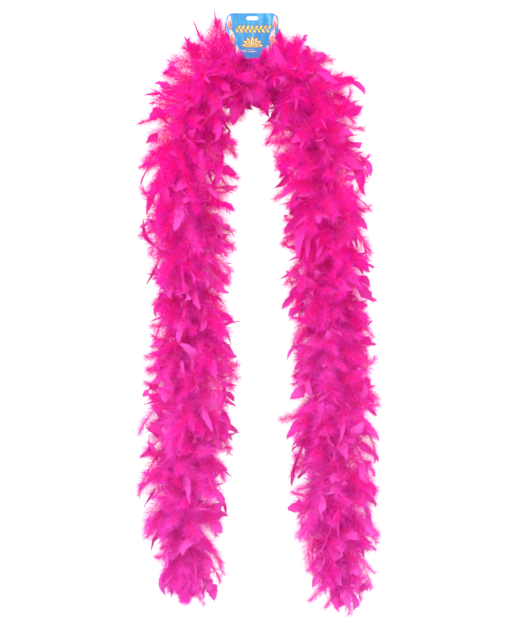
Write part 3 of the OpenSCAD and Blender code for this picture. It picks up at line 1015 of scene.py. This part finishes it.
def make_print():
    """Generic decoration in place of the card's lettering: plumes down both edges, a band of
    gold scroll leaves, and a gold fan of plumes. Two pale lines along the crease, in the
    blush ink, are a painted highlight of the fold."""
    inks = [ink_material("ink_navy", (0.004, 0.03, 0.16), (0.006, 0.05, 0.22)),
            ink_material("ink_gold", (0.74, 0.45, 0.030), (0.84, 0.68, 0.18), 220.0),
            ink_material("ink_coral", (0.55, 0.030, 0.045), (0.78, 0.16, 0.13), 260.0),
            ink_material("blush_ink_and_crease_highlight", (0.72, 0.42, 0.42), (0.80, 0.66, 0.66), 260.0)]
    navy, gold, coral, blush = range(4)
    shapes = []

    def leaf(ink, layer, base, tip, width, bend, notch=0.0):
        shapes.append((ink, layer, leaf_outline(base, tip, width, bend, notch)))

    half_vine, vine_z = 0.0275, -0.0170
    leaf(navy, 1, (-half_vine - 0.0008, vine_z), (half_vine + 0.0008, vine_z), 0.0036, 0.0)
    leaf(gold, 2, (-half_vine, vine_z), (half_vine, vine_z), 0.0020, 0.0)
    pairs = 8
    for i in range(pairs):
        x = -half_vine + 2 * half_vine * (i + 0.35) / pairs
        for up in (-1, 1):
            foot = (x + (0.0032 if up > 0 else 0), vine_z)
            tip = (foot[0] + 0.0036, vine_z + up * 0.0058)
            over = (tip[0] + 0.0006, tip[1] + up * 0.0010)
            leaf(navy, 1, foot, over, 0.0048, 0.0008 * up)
            leaf(gold, 2, foot, tip, 0.0034, 0.0008 * up)
    root = (0.0, -0.0450)
    for i in (-3, 3, -2, 2, -1, 1, 0):
        a = math.radians(27 * i)
        way = (math.sin(a) * 1.12, math.cos(a))
        reach = 0.0172 - 0.0006 * abs(i)
        layer = 3 * (4 - abs(i))
        over = reach + 0.0009
        leaf(navy, layer, root, (root[0] + over * way[0], root[1] + over * way[1]), 0.0074,
             0.0004 * i)
        leaf(gold, layer + 1, root, (root[0] + reach * way[0], root[1] + reach * way[1]),
             0.0056, 0.0004 * i)
        leaf(navy, layer + 2, root,
             (root[0] + reach * 0.75 * way[0], root[1] + reach * 0.75 * way[1]), 0.0007,
             0.0004 * i)
    # painted highlight: two pale lines where light catches the card's crease
    leaf(blush, 1, (-0.0195, -0.0502), (0.0090, -0.0522), 0.0014, -0.0012)
    leaf(blush, 1, (-0.0130, -0.0528), (0.0070, -0.0516), 0.0008, 0.0006)
    for side in (-1, 1):
        plumes = [((0.0345, -0.0175), (0.0350, 0.0052), 0.0082, -0.0012),
                  ((0.0300, -0.0410), (0.0352, -0.0170), 0.0082, 0.0016),
                  ((0.0185, -0.0640), (0.0245, -0.0420), 0.0064, -0.0012)]
        for number, (foot, tip, width, bend) in enumerate(plumes):
            foot, tip = np.array((side * foot[0], foot[1])), np.array((side * tip[0], tip[1]))
            middle = foot + (tip - foot) * 0.62
            leaf(blush, 3 + 3 * number, foot, tip, width, side * bend, 0.22)
            leaf(coral, 4 + 3 * number, foot, middle, width * 0.8, side * bend * 0.6, 0.30)
            leaf(blush, 5 + 3 * number, foot, tip, 0.0006, side * bend)
    verts, quads, slots, count = [], [], [], 0
    for ink, layer, outline in shapes:
        rows = len(outline)
        flat = outline.reshape(-1, 2)
        y = np.full(len(flat), CARD_LOW.y - layer * PRINT_LIFT)
        verts.append(np.stack([flat[:, 0], y, flat[:, 1]], axis=1))
        cells = [(2 * i, 2 * i + 1, 2 * i + 3, 2 * i + 2) for i in range(rows - 1)]
        quads.append(np.array(cells) + count)
        slots.append(np.full(rows - 1, ink))
        count += len(flat)
    ob = mesh_object("card_print", np.concatenate(verts), [np.concatenate(quads)],
                     material_index=np.concatenate(slots), smooth=False)
    for m in inks:
        ob.data.materials.append(m)
    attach(ob, "card")


def steel_material():
    """Bright drawn wire."""
    stops = [(0.3, (0.62, 0.63, 0.65)), (0.7, (0.86, 0.87, 0.88))]
    m, p = noise_coloured("staple_steel", 1400, stops)
    p.inputs["Metallic"].default_value = 1.0
    p.inputs["Roughness"].default_value = 0.25
    return m


def dress(node, material):
    """Gives a CAD node's object one material."""
    ob = bpy.data.objects[node]
    ob.data.materials.clear()
    ob.data.materials.append(material)


dress("header_card", card_material())
dress("staple", steel_material())
make_print()


# ---------------------------------------------------------------------------
# Floor and light
# ---------------------------------------------------------------------------

FLOOR_R, FLOOR_THICK, FLOOR_Z = 0.7, 0.01, -1.205
SKY_STRENGTH = 1.10
KEY_WATTS = 28
KEY_SIZE = 1.6
KEY_PLACE = (-0.55, -2.5, 0.55)
KEY_AIM = (0, 0, -0.4)


def make_stage():
    """Pale floor, white light from all round, a large soft lamp, and plain colours."""
    bpy.ops.mesh.primitive_cylinder_add(vertices=96, radius=FLOOR_R, depth=FLOOR_THICK,
                                        location=(0, 0, FLOOR_Z))
    floor = bpy.context.object
    floor.name = "floor"
    m, nodes, links, p = new_material("floor")
    p.inputs["Base Color"].default_value = (0.9, 0.9, 0.9, 1)
    p.inputs["Roughness"].default_value = 0.9
    floor.data.materials.append(m)
    world = bpy.data.worlds.new("world")
    world.use_nodes = True
    world.node_tree.nodes["Background"].inputs["Color"].default_value = (1, 1, 1, 1)
    world.node_tree.nodes["Background"].inputs["Strength"].default_value = SKY_STRENGTH
    bpy.context.scene.world = world
    light = bpy.data.lights.new("key", "AREA")
    light.energy = KEY_WATTS
    light.shape = "DISK"
    light.size = KEY_SIZE
    key = bpy.data.objects.new("key", light)
    bpy.context.scene.collection.objects.link(key)
    key.location = KEY_PLACE
    aim = Vector(KEY_AIM) - key.location
    key.rotation_euler = aim.to_track_quat("-Z", "Y").to_euler()
    bpy.context.scene.view_settings.view_transform = "Standard"
    bpy.context.scene.cycles.diffuse_bounces = 12


make_stage()
